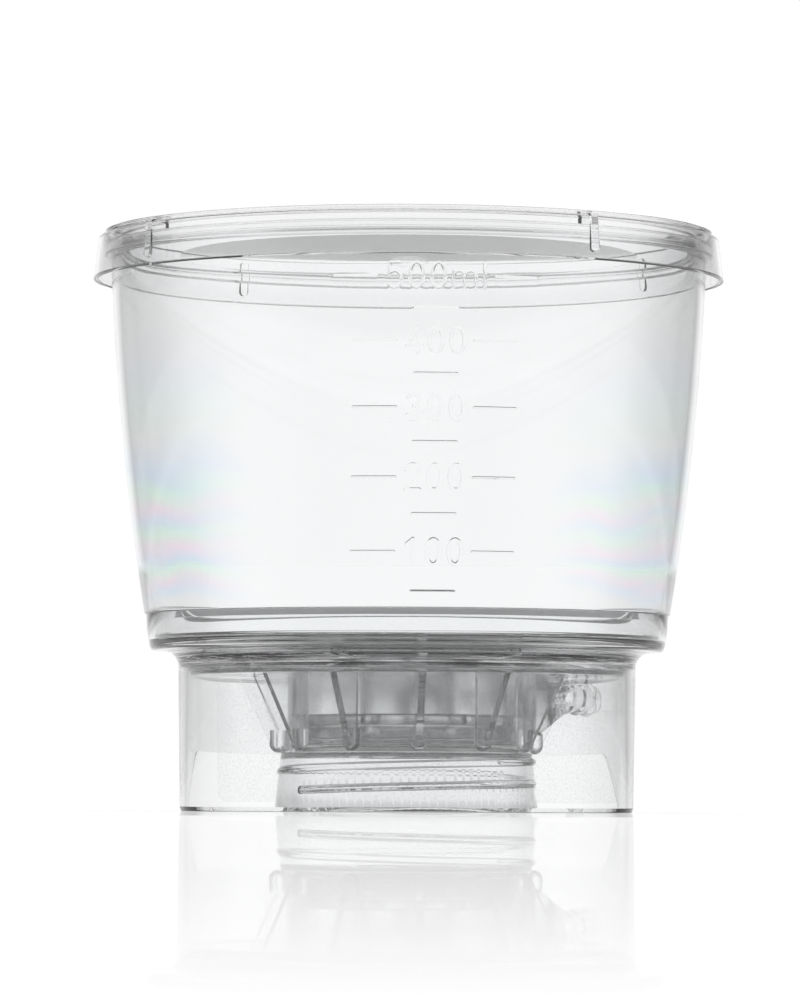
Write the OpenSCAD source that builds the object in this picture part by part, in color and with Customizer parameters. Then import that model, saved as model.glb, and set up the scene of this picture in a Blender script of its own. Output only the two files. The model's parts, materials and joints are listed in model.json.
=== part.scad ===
// Bottle-top vacuum filtration unit: a 500 ml filter cup welded to a base that
// screws on to a 45 mm bottle neck, with a loose vented lid.
// Millimetres, +Z up. The origin is on the axis at the foot of the skirt, the
// front faces -Y, and bearings run from the front towards +X.

/* [Cup] */
// Height of the whole unit with its lid on
total_h = 107; // [92:0.5:130]
// Outer radius of the cup wall just under its flange
cup_top_r = 55.2; // [52:0.1:67]
// Outer radius of the cup wall at the weld to the base
cup_weld_r = 48.6; // [47.5:0.1:58]
// How far the cup wall bows out of a straight taper
cup_bow = 1; // [0:0.1:2]
// Wall of the cup
cup_wall = 1.6; // [1.2:0.1:2.2]
// Wall of the cup where it thickens above its foot
cup_foot_wall = 2.1; // [1.8:0.1:2.6]
// Height over which the foot thickens
cup_foot_rise = 7; // [4:0.5:12]
// Flange thickness at the mouth of the cup
flange_h = 2.5; // [1.5:0.1:4]
// How far the flange stands out from the cup wall
flange_w = 1.2; // [0.8:0.1:1.4]
// Depth of the tongue that enters the rim of the base
tongue_h = 4.6; // [3:0.1:6]
// Volume between two graduations, in millilitres
mark_step = 50; // [25:25:100]
// Largest volume that is marked, in millilitres
mark_last = 500; // [100:50:1000]
// Clearance of the tongue below its welded zone
tongue_gap = 0.2; // [0.1:0.05:0.4]
// Depth of the welded zone at the root of the tongue
weld_h = 1.3; // [0.8:0.1:2]
// Thickness of the moulded graduation lines
mark_t = 0.5; // [0.3:0.1:0.8]
// How far the graduation lines stand out
mark_rise = 0.2; // [0.1:0.05:0.3]
// Length of each graduation line
mark_w = 7.8; // [5:0.1:12]
// Bare width left for each numeral between its two lines
numeral_w = 20; // [16:0.5:26]

/* [Lid] */
// Wall of the lid
lid_wall = 0.95; // [0.7:0.05:1.3]
// Height of the raised ring above the sunk panel
ring_h = 4.05; // [3:0.05:6]
// Wall of the ring's top
ring_wall = 1.1; // [0.8:0.05:1.5]
// Width of the rounded shoulder between the ring and the lid skirt
shoulder_w = 0.85; // [0.6:0.05:1.2]
// Drop from the ring to that shoulder
shoulder_h = 1; // [0.6:0.1:1.6]
// How far the lid skirt reaches down from the top
lid_skirt_h = 8.95; // [7:0.05:12]
// Clearance between the lid skirt and the cup flange, at the top of the skirt
lid_gap = 0.3; // [0.2:0.05:0.8]
// Clearance between the lid's plug wall and the mouth of the cup
plug_gap = 0.4; // [0.2:0.05:0.8]
// How far the lid skirt flares from top to bottom
lid_flare = 0.75; // [0.3:0.05:1.2]
// Height of the vent ribs that the lid stands on
vent_h = 1.45; // [0.8:0.05:2]
// How far the ends of the vent ribs stay above the foot of the lid skirt
vent_rise = 1.35; // [0.5:0.05:3]
// Clearance between the vent ribs and the cup flange
vent_gap = 0.2; // [0.1:0.05:0.3]
// Number of vent ribs
vent_count = 4; // [3:1:8]
// Width of a vent rib
vent_w = 1.8; // [1:0.1:3]
// Bearing of the first vent rib
vent_bearing = 30; // [0:1:90]
// Radius of the round gate dimple in the middle of the panel
gate_r = 3.9; // [2:0.1:6]
// Depth of the gate dimple
gate_h = 0.9; // [0.4:0.1:1.2]

/* [Membrane] */
// Thickness of the membrane
membrane_t = 0.2; // [0.1:0.05:0.4]
// How far the membrane reaches under the foot of the tongue
membrane_grip = 0.5; // [0.2:0.1:0.7]

/* [Base] */
// Height of the membrane seat above the foot of the skirt
seat_z = 31.5; // [28:0.1:38]
// Thickness of the seat ledge
ledge_h = 1.95; // [1.5:0.05:3]
// Width of the seat ledge
ledge_w = 2.6; // [2:0.1:3]
// Depth of the drain space under the membrane
drain_h = 2.3; // [1.5:0.1:3]
// Thickness of the pan floor
floor_t = 1.8; // [1.3:0.1:2.5]
// Wall of the upstanding rim
rim_wall = 1; // [0.8:0.1:1.4]
// Radius of the rounded lower corner of the pan
pan_round = 1; // [0.5:0.1:1.5]
// How far the floor of the drain space stays inside the face of the skirt
drain_inset = 1; // [1:0.1:3]
// Number of round ridges that hold the membrane up
ridge_count = 10; // [5:1:12]
// Width of a ridge
ridge_w = 0.9; // [0.6:0.1:1.5]
// Number of channels across the ridges that lead in to the drain
channel_count = 8; // [4:1:12]
// Width of a channel
channel_w = 2.4; // [1.5:0.1:3]
// Outer radius of the skirt at its foot
skirt_foot_r = 41.9; // [34.5:0.1:44]
// How much wider the skirt is at its top
skirt_flare = 0.42; // [0.1:0.02:1]
// Wall of the skirt
skirt_wall = 1.8; // [1.2:0.1:2.4]
// Height of the narrow lip at the foot of the skirt
lip_h = 0.8; // [0.4:0.1:1.5]
// How far the lip draws in
lip_inset = 0.3; // [0.1:0.05:0.5]
// Radius of the fillet between the skirt and the pan
skirt_fillet = 2.9; // [1.5:0.1:3.2]
// Height of the opening in the back of the skirt
bay_h = 11.8; // [6:0.1:16]
// Half angle of the opening at its top
bay_half = 75.5; // [30:0.5:80]
// How much wider the opening is at the foot, on each side
bay_splay = 7.5; // [0:0.5:9]
// Corner radius of the opening
bay_round = 3; // [1:0.5:5]

/* [Neck] */
// Radius of the collar bore, at the root of its thread
neck_r = 22.9; // [19:0.1:26]
// Wall of the threaded collar
collar_wall = 1.5; // [1.2:0.1:2]
// Height of the threaded collar
collar_h = 12.4; // [10:0.1:16]
// Depth of the collar bore up to its inner step
thread_depth = 11; // [9:0.1:13]
// Radius of the fillet at the top of the collar bore
thread_round = 1; // [0.5:0.1:1.2]
// Width of the step between the collar bore and the stub bore
neck_step = 2; // [1.4:0.1:2.5]
// Wall of the neck stub
stub_wall = 1.4; // [1.2:0.1:2]
// Width of the stop ledge that the spout insert is pushed up against
stop_w = 2.1; // [1.6:0.1:2.5]
// Number of gusset places round the neck
gusset_count = 12; // [8:2:16]
// Thickness of a gusset
gusset_t = 1.3; // [1:0.1:2]
// Radius that a gusset reaches at the pan floor
gusset_top_r = 32.6; // [28:0.1:36]
// Radius that a gusset reaches at its foot
gusset_foot_r = 25.2; // [24.6:0.1:28]
// Height of the gusset feet above the top of the collar
gusset_rise = 0.7; // [0.4:0.1:1.5]
// Radius of the round-ended pegs at the gusset feet
peg_r = 1.65; // [1:0.05:2]
// How far the pegs reach below the top of the collar
peg_drop = 1.1; // [0.6:0.1:1.5]
// Length of a peg above its round end
peg_h = 2.5; // [2:0.1:4]

/* [Spout insert] */
// Wall of the insert's sleeve
sleeve_wall = 1.6; // [1.2:0.1:2]
// Radial space between the sleeve and the neck stub
sleeve_space = 1.3; // [0.8:0.1:1.6]
// Clearance of the insert's flange in the neck stub
insert_gap = 0.05; // [0.02:0.01:0.2]
// Height of the insert up to the top of its plate
sleeve_h = 5.6; // [4:0.1:8]
// Thickness of the insert's flange
insert_flange_t = 1.2; // [0.8:0.1:2]
// Thickness of the plate
plate_t = 1.7; // [1.2:0.1:2.2]
// Outer radius of the drain spout
spout_r = 8.9; // [6:0.1:10]
// Wall of the drain spout
spout_wall = 1.4; // [1:0.1:2]
// How far the spout hangs below the plate
spout_drop = 6.1; // [3:0.1:7]
// Number of air holes through the plate
air_count = 6; // [4:1:8]
// Radius of an air hole
air_r = 1.7; // [1:0.1:2]

/* [Neck gasket] */
// Thickness of the gasket
gasket_t = 1.2; // [0.8:0.1:1.3]
// Clearance of the gasket in the neck stub
gasket_gap = 0.2; // [0.1:0.05:0.4]

/* [Vacuum port] */
// Bearing of the port
port_bearing = 130; // [115:1:150]
// Height of the port's axis below the pan floor
port_drop = 4.1; // [3.8:0.1:5]
// Radius of the duct between the neck and the skirt
duct_r = 4.3; // [3.6:0.1:5]
// How far the hose barb stands out from the skirt
barb_l = 13; // [6:0.5:15]
// Radius of the barb crests
barb_r = 3.5; // [3:0.1:4.5]
// Radius of the barb stem and tip
stem_r = 2.7; // [2.2:0.1:3.4]
// Number of barbs
barb_count = 3; // [1:1:4]
// Length of plain stem between the skirt and the first barb
stem_l = 2; // [1:0.1:4]
// Radius of the port's bore
port_bore_r = 1.8; // [1:0.1:2]
// Thickness of the two webs that brace the duct
web_t = 1.4; // [1:0.1:2]

/* [Label] */
// Thickness of the label film
label_t = 0.1; // [0.05:0.05:0.3]
// Angle that the label spans round the skirt
label_angle = 122; // [60:1:140]
// Bearing of the middle of the label
label_bearing = 1.5; // [-10:0.5:10]
// Height of the label
label_h = 24.8; // [10:0.1:25]
// Distance from the foot of the skirt to the label
label_z = 1.7; // [1:0.1:6]
// Gap left by the adhesive under the film
label_gap = 0.03; // [0.02:0.01:0.1]

/* [Hidden] */
$fn = 96;
eps = 0.01;
arc_steps = 6;
wall_steps = 14;
rim_steps = 3;
fill_steps = 80;
small_fn = 48;

// Heights, from the foot up
floor_top_z = seat_z - drain_h;
floor_z = floor_top_z - floor_t;
pan_foot_z = seat_z - ledge_h;
tongue_z = seat_z + membrane_t;
weld_z = tongue_z + tongue_h;
gasket_z = collar_h - gasket_t;
plate_top_z = collar_h + sleeve_h;
plate_z = plate_top_z - plate_t;
spout_z = plate_z - spout_drop;
lid_top_z = total_h;
panel_z = lid_top_z - ring_h;
ring_under_z = lid_top_z - ring_wall;
mouth_z = ring_under_z - vent_h;
flange_z = mouth_z - flange_h;
lid_foot_z = lid_top_z - lid_skirt_h;
port_z = floor_z - port_drop;
flare_z = lid_top_z - shoulder_h * 2;

// Radii
flange_r = cup_top_r + flange_w;
mouth_r = cup_top_r - cup_wall;
skirt_r = skirt_foot_r + skirt_flare;
stub_bore_r = neck_r - neck_step;
stub_r = stub_bore_r + stub_wall;
stop_r = stub_bore_r - stop_w;
collar_r = neck_r + collar_wall;
sleeve_r = stub_bore_r - sleeve_space;
lid_skirt_r = flange_r + lid_gap + lid_wall;
plug_r = mouth_r - plug_gap;
ring_r = lid_skirt_r - shoulder_w;
ledge_in_r = cup_r(seat_z) - rim_wall - ledge_w;
membrane_r = cup_inner_r(tongue_z) + membrane_grip;

// Graduations: a line stands where the cup is filled to its volume, so a lower or
// wider cup has its own lines, and none is above the flange
fill_dz = (flange_z - tongue_z) / fill_steps;
slices = [for (i = [0 : fill_steps - 1])
    PI * pow(cup_inner_r(tongue_z + fill_dz * (i + 0.5)), 2) * fill_dz / 1000];
fill_heights = [for (i = 0, ml = 0; i <= fill_steps;
    ml = ml + (i < fill_steps ? slices[i] : 0), i = i + 1) [ml, tongue_z + fill_dz * i]];
mark_count = floor(min(mark_last, fill_heights[fill_steps][0]) / mark_step);

// Outer radius of the cup and of the rim that continues it, at height z
function cup_r(z) =
    let (s = (z - weld_z) / (flange_z - weld_z))
    cup_weld_r + (cup_top_r - cup_weld_r) * s + 4 * cup_bow * s * (1 - s);

// Inner radius of the cup at height z
function cup_inner_r(z) =
    cup_r(z) - cup_wall - (cup_foot_wall - cup_wall) * (1 - min(1, max(0, (z - weld_z) / cup_foot_rise)));

// Outer radius of the skirt at height z
function skirt_at(z) = skirt_foot_r + skirt_flare * z / pan_foot_z;

// Outer radius of the lid skirt at height z
function lid_skirt_at(z) =
    lid_skirt_r + lid_flare * (flare_z - z) / (flare_z - lid_foot_z);

// Points of an arc about (x, y) from angle a to angle b
function arc(x, y, r, a, b) =
    [for (i = [0 : arc_steps]) let (t = a + (b - a) * i / arc_steps) [x + r * cos(t), y + r * sin(t)]];

// Places what follows along the bearing, with +X pointing outwards
module at_bearing(bearing) {
    rotate([0, 0, bearing - 90]) children();
}

// A band of the profile swept over an angle that is centred on the bearing
module sweep(bearing, angle) {
    rotate([0, 0, bearing - 90 - angle / 2]) rotate_extrude(angle = angle) children();
}

// One moulded line on the cup wall, from one arc length to another along the wall
module mark(z, from, to) {
    r = cup_r(z);
    turn = 180 / (PI * r);
    at = (from + to) / 2;
    sweep(at * turn, (to - from) * turn)
        translate([r - cup_wall / 2, z - mark_t / 2]) square([cup_wall / 2 + mark_rise, mark_t]);
}

module funnel() {
    step_z = weld_z - weld_h;
    thin_z = weld_z + cup_foot_rise;
    weld_seat_r = cup_weld_r - rim_wall;
    outside = [for (i = [0 : wall_steps])
        let (z = weld_z + (flange_z - weld_z) * i / wall_steps) [cup_r(z), z]];
    inside = [for (i = [0 : wall_steps])
        let (z = flange_z - (flange_z - thin_z) * i / wall_steps) [cup_inner_r(z), z]];
    flange_round = 0.5;
    color([0.86, 0.91, 0.95, 0.35]) union() {
        rotate_extrude() polygon(concat(
            outside,
            arc(flange_r - flange_round, flange_z + flange_round, flange_round, -90, 0),
            arc(flange_r - flange_round, mouth_z - flange_round, flange_round, 0, 90),
            [[mouth_r, mouth_z]],
            inside,
            [[cup_inner_r(weld_z), weld_z], [cup_inner_r(tongue_z), tongue_z]],
            [[cup_r(tongue_z) - rim_wall - tongue_gap, tongue_z]],
            [[cup_r(step_z) - rim_wall - tongue_gap, step_z]],
            [[weld_seat_r - insert_gap - (cup_r(weld_z) - cup_r(step_z)), step_z]],
            [[weld_seat_r - insert_gap, weld_z]]
        ));
        for (i = [1 : mark_count]) {
            z = lookup(mark_step * i, fill_heights);
            if (i % 2 == 1) mark(z, -mark_w / 2, mark_w / 2);
            else for (hand = [-1, 1]) {
                middle = hand * (numeral_w + mark_w) / 2;
                mark(z, middle - mark_w / 2, middle + mark_w / 2);
            }
        }
    }
}

module lid() {
    edge = 0.5;
    shoulder_z = lid_top_z - shoulder_h;
    shoulder_round = 0.6;
    dimple_r = (gate_r * gate_r + gate_h * gate_h) / (2 * gate_h);
    dimple_z = panel_z - lid_wall - gate_h + dimple_r;
    dimple_in_r = dimple_r - lid_wall;
    under_a = asin(gate_r / dimple_r);
    over_a = acos((dimple_z - panel_z) / dimple_in_r);
    inner_r = plug_r - lid_wall;
    vent_in_r = plug_r - eps;
    rib_in_r = flange_r + vent_gap;
    rib_end_z = lid_foot_z + vent_rise + vent_w / 2;
    rib_depth = lid_skirt_at(rib_end_z) - lid_wall / 2 - rib_in_r;
    color([0.84, 0.9, 0.95, 0.35]) union() {
        rotate_extrude() polygon(concat(
            arc(0, dimple_z, dimple_in_r, -90, over_a - 90),
            arc(inner_r - edge, panel_z + edge, edge, -90, 0),
            arc(inner_r + edge, lid_top_z - edge, edge, 180, 90),
            arc(ring_r - edge, lid_top_z - edge, edge, 90, 0),
            [[ring_r, shoulder_z]],
            arc(lid_skirt_at(shoulder_z - shoulder_round) - shoulder_round,
                shoulder_z - shoulder_round, shoulder_round, 90, 0),
            [[lid_skirt_at(lid_foot_z), lid_foot_z]],
            [[lid_skirt_at(lid_foot_z) - lid_wall, lid_foot_z]],
            [[lid_skirt_at(ring_under_z) - lid_wall, ring_under_z]],
            [[plug_r, ring_under_z]],
            arc(plug_r - edge, panel_z - lid_wall + edge, edge, 0, -90),
            arc(0, dimple_z, dimple_r, under_a - 90, -90)
        ));
        for (i = [0 : vent_count - 1]) at_bearing(vent_bearing + 360 / vent_count * i) {
            translate([vent_in_r, -vent_w / 2, mouth_z])
                cube([lid_skirt_at(mouth_z) - lid_wall / 2 - vent_in_r, vent_w, vent_h + eps]);
            translate([rib_in_r, -vent_w / 2, rib_end_z])
                cube([lid_skirt_at(mouth_z) - lid_wall / 2 - rib_in_r, vent_w, mouth_z - rib_end_z + eps]);
            translate([rib_in_r, 0, rib_end_z]) rotate([0, 90, 0])
                cylinder(r = vent_w / 2, h = rib_depth, $fn = small_fn);
        }
    }
}

module membrane() {
    color([0.96, 0.97, 0.97]) translate([0, 0, seat_z]) cylinder(r = membrane_r, h = membrane_t);
}

// The revolved wall of the base: rim, pan, seat ledge, floor and skirt
module pan_and_skirt() {
    rim_low = pan_foot_z + pan_round;
    rim_out = [for (i = [0 : rim_steps])
        let (z = weld_z + (rim_low - weld_z) * i / rim_steps) [cup_r(z), z]];
    rim_in = [for (i = [0 : rim_steps])
        let (z = seat_z + (weld_z - seat_z) * i / rim_steps) [cup_r(z) - rim_wall, z]];
    skirt_top_z = pan_foot_z - skirt_fillet;
    skirt_in_r = skirt_at(floor_z) - skirt_wall;
    inner_round = 1.2;
    rotate_extrude() polygon(concat(
        rim_out,
        arc(cup_r(rim_low) - pan_round, rim_low, pan_round, 0, -90),
        arc(skirt_at(skirt_top_z) + skirt_fillet, skirt_top_z, skirt_fillet, 90, 180),
        [[skirt_at(lip_h), lip_h], [skirt_at(0) - lip_inset, 0], [skirt_foot_r - skirt_wall, 0]],
        arc(skirt_in_r - inner_round, floor_z - inner_round, inner_round, 0, 90),
        [[0, floor_z], [0, floor_top_z], [skirt_r - drain_inset, floor_top_z], [ledge_in_r, seat_z]],
        rim_in
    ));
}

// What is cut from the back of the skirt: a wedge, and a radial cut at each side
// that rounds the top corner and splays towards the foot
module bay() {
    corner = bay_half - asin(bay_round / skirt_foot_r);
    lean = atan2(bay_splay, bay_h - bay_round);
    reach = skirt_r * 3;
    in_r = skirt_foot_r - skirt_wall * 2;
    translate([0, 0, -1]) linear_extrude(bay_h + 1) polygon([
        [0, 0], reach * [sin(corner), cos(corner)], [0, reach], reach * [-sin(corner), cos(corner)]
    ]);
    for (hand = [0, 1]) mirror([hand, 0, 0]) at_bearing(180 - bay_half)
        translate([in_r, 0, 0]) rotate([90, 0, 90]) linear_extrude(skirt_wall * 3) mirror([1, 0])
            polygon(concat(
                [[-bay_round * 2, -1], [-bay_round * 2, bay_h - bay_round]],
                arc(-bay_round, bay_h - bay_round - eps / 10, bay_round, 90, lean),
                [[bay_splay, 0], [bay_splay, -1]]
            ));
}

// One thin gusset between the neck and the pan floor, with a round-ended peg at its foot
module gusset() {
    foot_z = collar_h + gusset_rise;
    in_r = stub_r - stub_wall / 2;
    translate([0, gusset_t / 2, 0]) rotate([90, 0, 0]) linear_extrude(gusset_t) polygon([
        [in_r, foot_z], [gusset_foot_r, foot_z], [gusset_top_r, floor_z + eps], [in_r, floor_z + eps]
    ]);
    translate([(stub_r + gusset_foot_r) / 2, 0, collar_h - peg_drop + peg_r]) {
        cylinder(r = peg_r, h = peg_h, $fn = small_fn);
        sphere(r = peg_r, $fn = small_fn);
    }
}

// The collar, the stub above it and the drain tube, before they are bored
module neck_body() {
    edge = 0.6;
    rotate_extrude() polygon(concat(
        [[stop_r, collar_h], [neck_r, 0], [collar_r, 0]],
        arc(collar_r - edge, collar_h - edge, edge, 0, 90),
        [[stub_r, collar_h], [stub_r, floor_z + eps], [stop_r, floor_z + eps]]
    ));
}

module neck_bores() {
    rotate_extrude() polygon(concat(
        [[0, -1], [neck_r, -1]],
        arc(neck_r - thread_round, thread_depth - thread_round, thread_round, 0, 90),
        [[0, thread_depth]]
    ));
    cylinder(r = stub_bore_r, h = plate_top_z);
    cylinder(r = stop_r, h = floor_z);
}

module drain_tube() {
    difference() {
        translate([0, 0, plate_top_z]) cylinder(r = spout_r, h = floor_top_z - plate_top_z);
        drain_bore();
    }
}

module drain_bore() {
    translate([0, 0, plate_top_z - 1])
        cylinder(r = spout_r - spout_wall, h = floor_top_z - plate_top_z + 2);
}

// The duct under the floor, its two bracing webs and the hose barb outside the skirt
module port_body() {
    duct_in_r = stub_r - stub_wall / 2;
    duct_l = skirt_r - skirt_wall / 2 - duct_in_r;
    web_foot_z = collar_h;
    web_end_z = port_z - duct_r * 0.8;
    web_end_r = skirt_r - skirt_wall * 2.5;
    spread = acos((stub_r - web_t - duct_r) / web_end_r);
    at_bearing(port_bearing) {
        translate([duct_in_r, 0, port_z]) {
            rotate([0, 90, 0]) cylinder(r = duct_r, h = duct_l);
            translate([0, -duct_r, 0]) cube([duct_l, duct_r * 2, floor_z - port_z + eps]);
        }
        for (hand = [-1, 1]) {
            from = (stub_r - web_t) * [cos(spread), hand * sin(spread)];
            to = [web_end_r, 0] + (duct_r - web_t) * [cos(spread), hand * sin(spread)];
            along = to - from;
            translate([from[0], from[1], 0]) rotate([90, 0, atan2(along[1], along[0])])
                translate([0, 0, hand > 0 ? -web_t : 0]) linear_extrude(web_t) polygon([
                    [0, web_foot_z], [norm(along), web_end_z],
                    [norm(along), floor_z + eps], [0, floor_z + eps]
                ]);
        }
    }
}

module barb() {
    root_r = skirt_r - skirt_wall / 2;
    pitch = (barb_l - stem_l) / barb_count;
    tip_r = skirt_r + barb_l;
    at_bearing(port_bearing) translate([0, 0, port_z]) rotate([0, 90, 0]) rotate_extrude() polygon(concat(
        [[0, root_r], [stem_r, root_r]],
        [for (i = [barb_count - 1 : -1 : 0]) each
            let (z = tip_r - pitch * (i + 1)) [[stem_r, z], [barb_r, z], [stem_r, z + pitch]]],
        [[0, tip_r]]
    ));
}

module port_bore() {
    at_bearing(port_bearing) translate([stop_r - 1, 0, port_z]) rotate([0, 90, 0])
        cylinder(r = port_bore_r, h = skirt_r + barb_l - stop_r + 2);
}

// Round ridges that hold the membrane up, broken by channels that lead in to the drain
module supports() {
    first_r = spout_r + 1;
    last_r = skirt_r - drain_inset - ridge_w;
    pitch = (last_r - first_r) / (ridge_count - 1);
    difference() {
        union() for (i = [0 : ridge_count - 1]) rotate_extrude()
            translate([first_r + pitch * i, floor_top_z - eps]) square([ridge_w, drain_h + eps]);
        for (i = [0 : channel_count - 1]) rotate([0, 0, 360 / channel_count * (i + 0.5)])
            translate([0, -channel_w / 2, floor_top_z - 1]) cube([skirt_r, channel_w, drain_h + 2]);
    }
}

module base() {
    port_place = round(port_bearing * gusset_count / 360);
    color([0.84, 0.89, 0.92, 0.35]) difference() {
        union() {
            difference() {
                pan_and_skirt();
                bay();
            }
            difference() {
                union() {
                    neck_body();
                    for (i = [0 : gusset_count - 1]) if (i != port_place)
                        at_bearing(360 / gusset_count * i) gusset();
                    port_body();
                }
                neck_bores();
            }
            drain_tube();
            barb();
            supports();
        }
        drain_bore();
        port_bore();
    }
}

module spout_insert() {
    color([0.88, 0.92, 0.94, 0.35]) difference() {
        rotate_extrude() polygon([
            [spout_r - spout_wall, spout_z], [spout_r, spout_z], [spout_r, plate_z],
            [sleeve_r - sleeve_wall, plate_z], [sleeve_r - sleeve_wall, collar_h],
            [stub_bore_r - insert_gap, collar_h], [stub_bore_r - insert_gap, collar_h + insert_flange_t],
            [sleeve_r, collar_h + insert_flange_t], [sleeve_r, plate_top_z],
            [spout_r - spout_wall, plate_top_z]
        ]);
        for (i = [0 : air_count - 1]) rotate([0, 0, 360 / air_count * i])
            translate([(spout_r + sleeve_r - sleeve_wall) / 2, 0, plate_z - 1])
                cylinder(r = air_r, h = plate_t + 2, $fn = small_fn);
    }
}

module neck_gasket() {
    color([0.93, 0.93, 0.9, 0.7]) translate([0, 0, gasket_z]) difference() {
        cylinder(r = stub_bore_r - gasket_gap, h = gasket_t);
        translate([0, 0, -1]) cylinder(r = sleeve_r - sleeve_wall, h = gasket_t + 2);
    }
}

module label_film() {
    top_z = label_z + label_h;
    color([0.9, 0.92, 0.94, 0.5]) sweep(label_bearing, label_angle) polygon([
        [skirt_at(label_z) + label_gap, label_z],
        [skirt_at(label_z) + label_gap + label_t, label_z],
        [skirt_at(top_z) + label_gap + label_t, top_z],
        [skirt_at(top_z) + label_gap, top_z]
    ]);
}

lid();
funnel();
membrane();
base();
spout_insert();
neck_gasket();
label_film();
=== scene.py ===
import json
import math

import bpy
import numpy as np
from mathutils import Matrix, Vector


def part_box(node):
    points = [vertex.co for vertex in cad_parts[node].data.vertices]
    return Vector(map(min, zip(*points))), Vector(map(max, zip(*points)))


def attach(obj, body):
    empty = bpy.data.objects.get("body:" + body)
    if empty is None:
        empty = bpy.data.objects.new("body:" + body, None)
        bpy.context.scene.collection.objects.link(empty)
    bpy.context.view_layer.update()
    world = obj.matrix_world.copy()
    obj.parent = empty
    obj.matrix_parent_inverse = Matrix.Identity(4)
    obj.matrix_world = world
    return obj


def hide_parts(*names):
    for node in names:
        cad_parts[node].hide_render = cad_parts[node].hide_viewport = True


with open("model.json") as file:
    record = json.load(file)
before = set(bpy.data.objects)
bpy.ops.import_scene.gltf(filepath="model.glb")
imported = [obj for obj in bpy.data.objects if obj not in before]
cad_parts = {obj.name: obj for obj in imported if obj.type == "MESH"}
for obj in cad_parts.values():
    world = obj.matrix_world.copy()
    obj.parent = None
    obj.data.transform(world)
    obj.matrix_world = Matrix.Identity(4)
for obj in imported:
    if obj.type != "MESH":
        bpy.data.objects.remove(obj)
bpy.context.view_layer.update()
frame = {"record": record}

# ---------------------------------------------------------------- Base
# The base is one clear polystyrene moulding: seat pan, skirt, screw neck, drain
# tube, gussets and hose barb. Its round walls are turned from one outline; the
# plates, pegs, thread and barb are joined to it, and the openings are cut from it.

MM = 0.001


def low(node):
    """Lowest corner of a node of the frame, in millimetres."""
    return [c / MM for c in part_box(node)[0]]


def high(node):
    """Highest corner of a node of the frame, in millimetres."""
    return [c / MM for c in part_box(node)[1]]


def mount(name):
    return next(m for m in frame["record"]["mounts"] if m["name"] == name)


# The cup's wall sets the rim of the base too, so its heights and radii come first
seat_z = low("membrane")[2]
weld_z = high("base")[2]
mouth_z = high("funnel")[2]
flange_h = 2.5
flange_z = mouth_z - flange_h
flange_r = high("funnel")[1]
cup_top_r = flange_r - 1.2
cup_weld_r = -low("base")[1]
cup_bow = 1.0
rim_wall = 1.0


def cup_r(z):
    """Outer radius of the cup, and of the rim that carries its line on down."""
    s = (z - weld_z) / (flange_z - weld_z)
    return cup_weld_r + (cup_top_r - cup_weld_r) * s + 4 * cup_bow * s * (1 - s)


def rounded(corners, steps=5):
    """Outline whose corners (r, z, radius) are rounded; (r, z) stays sharp."""
    out = []
    count = len(corners)
    for i, corner in enumerate(corners):
        here = np.array(corner[:2], float)
        if len(corner) < 3:
            out.append(tuple(here))
            continue
        to_last = np.array(corners[i - 1][:2]) - here
        to_next = np.array(corners[(i + 1) % count][:2]) - here
        to_last /= np.linalg.norm(to_last)
        to_next /= np.linalg.norm(to_next)
        half = math.acos(max(-1, min(1, to_last @ to_next))) / 2
        reach = corner[2] / math.tan(half)
        middle = to_last + to_next
        centre = here + middle / np.linalg.norm(middle) * corner[2] / math.sin(half)
        start = here + to_last * reach - centre
        turn = math.pi - 2 * half
        if start[0] * to_next[1] - start[1] * to_next[0] < 0:
            turn = -turn
        for k in range(steps + 1):
            c, s = math.cos(turn * k / steps), math.sin(turn * k / steps)
            out.append((centre[0] + start[0] * c - start[1] * s, centre[1] + start[0] * s + start[1] * c))
    return out


def solid(points, faces):
    """A loose closed mesh in millimetres, to be joined, cut or finished."""
    mesh = bpy.data.meshes.new("solid")
    mesh.from_pydata([tuple(p) for p in points], [], faces)
    mesh.update()
    piece = bpy.data.objects.new("solid", mesh)
    bpy.context.scene.collection.objects.link(piece)
    return piece


def turned(outline, turns=192):
    """The closed outline [(r, z)] turned about the axis."""
    area = sum(a[0] * b[1] - b[0] * a[1] for a, b in zip(outline, outline[1:] + outline[:1]))
    if area < 0:
        outline = outline[::-1]
    points, rings = [], []
    for r, z in outline:
        if r < 1e-6:
            rings.append([len(points)] * turns)
            points.append((0, 0, z))
        else:
            rings.append(list(range(len(points), len(points) + turns)))
            for k in range(turns):
                angle = 2 * math.pi * (k + 0.5) / turns
                points.append((r * math.cos(angle), r * math.sin(angle), z))
    faces = []
    for a, b in zip(rings, rings[1:] + rings[:1]):
        if a[0] == a[1] and b[0] == b[1]:
            continue
        for k in range(turns):
            m = (k + 1) % turns
            face = [a[k], a[m], b[m], b[k]]
            faces.append([v for i, v in enumerate(face) if v != face[i - 1]])
    return solid(points, faces)


def moved(piece, matrix, shift=(0, 0, 0)):
    """Turns and shifts the mesh itself, since every piece stays at the origin."""
    mesh = piece.data
    points = np.empty(len(mesh.vertices) * 3)
    mesh.vertices.foreach_get("co", points)
    points = points.reshape(-1, 3) @ np.array(matrix, float).T + np.array(shift, float)
    mesh.vertices.foreach_set("co", points.ravel())
    mesh.update()
    return piece


def bearing_axes(bearing):
    """Columns outward, along and up at a bearing, which runs from the front to the right."""
    angle = math.radians(bearing - 90)
    c, s = math.cos(angle), math.sin(angle)
    return [[c, -s, 0], [s, c, 0], [0, 0, 1]]


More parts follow.
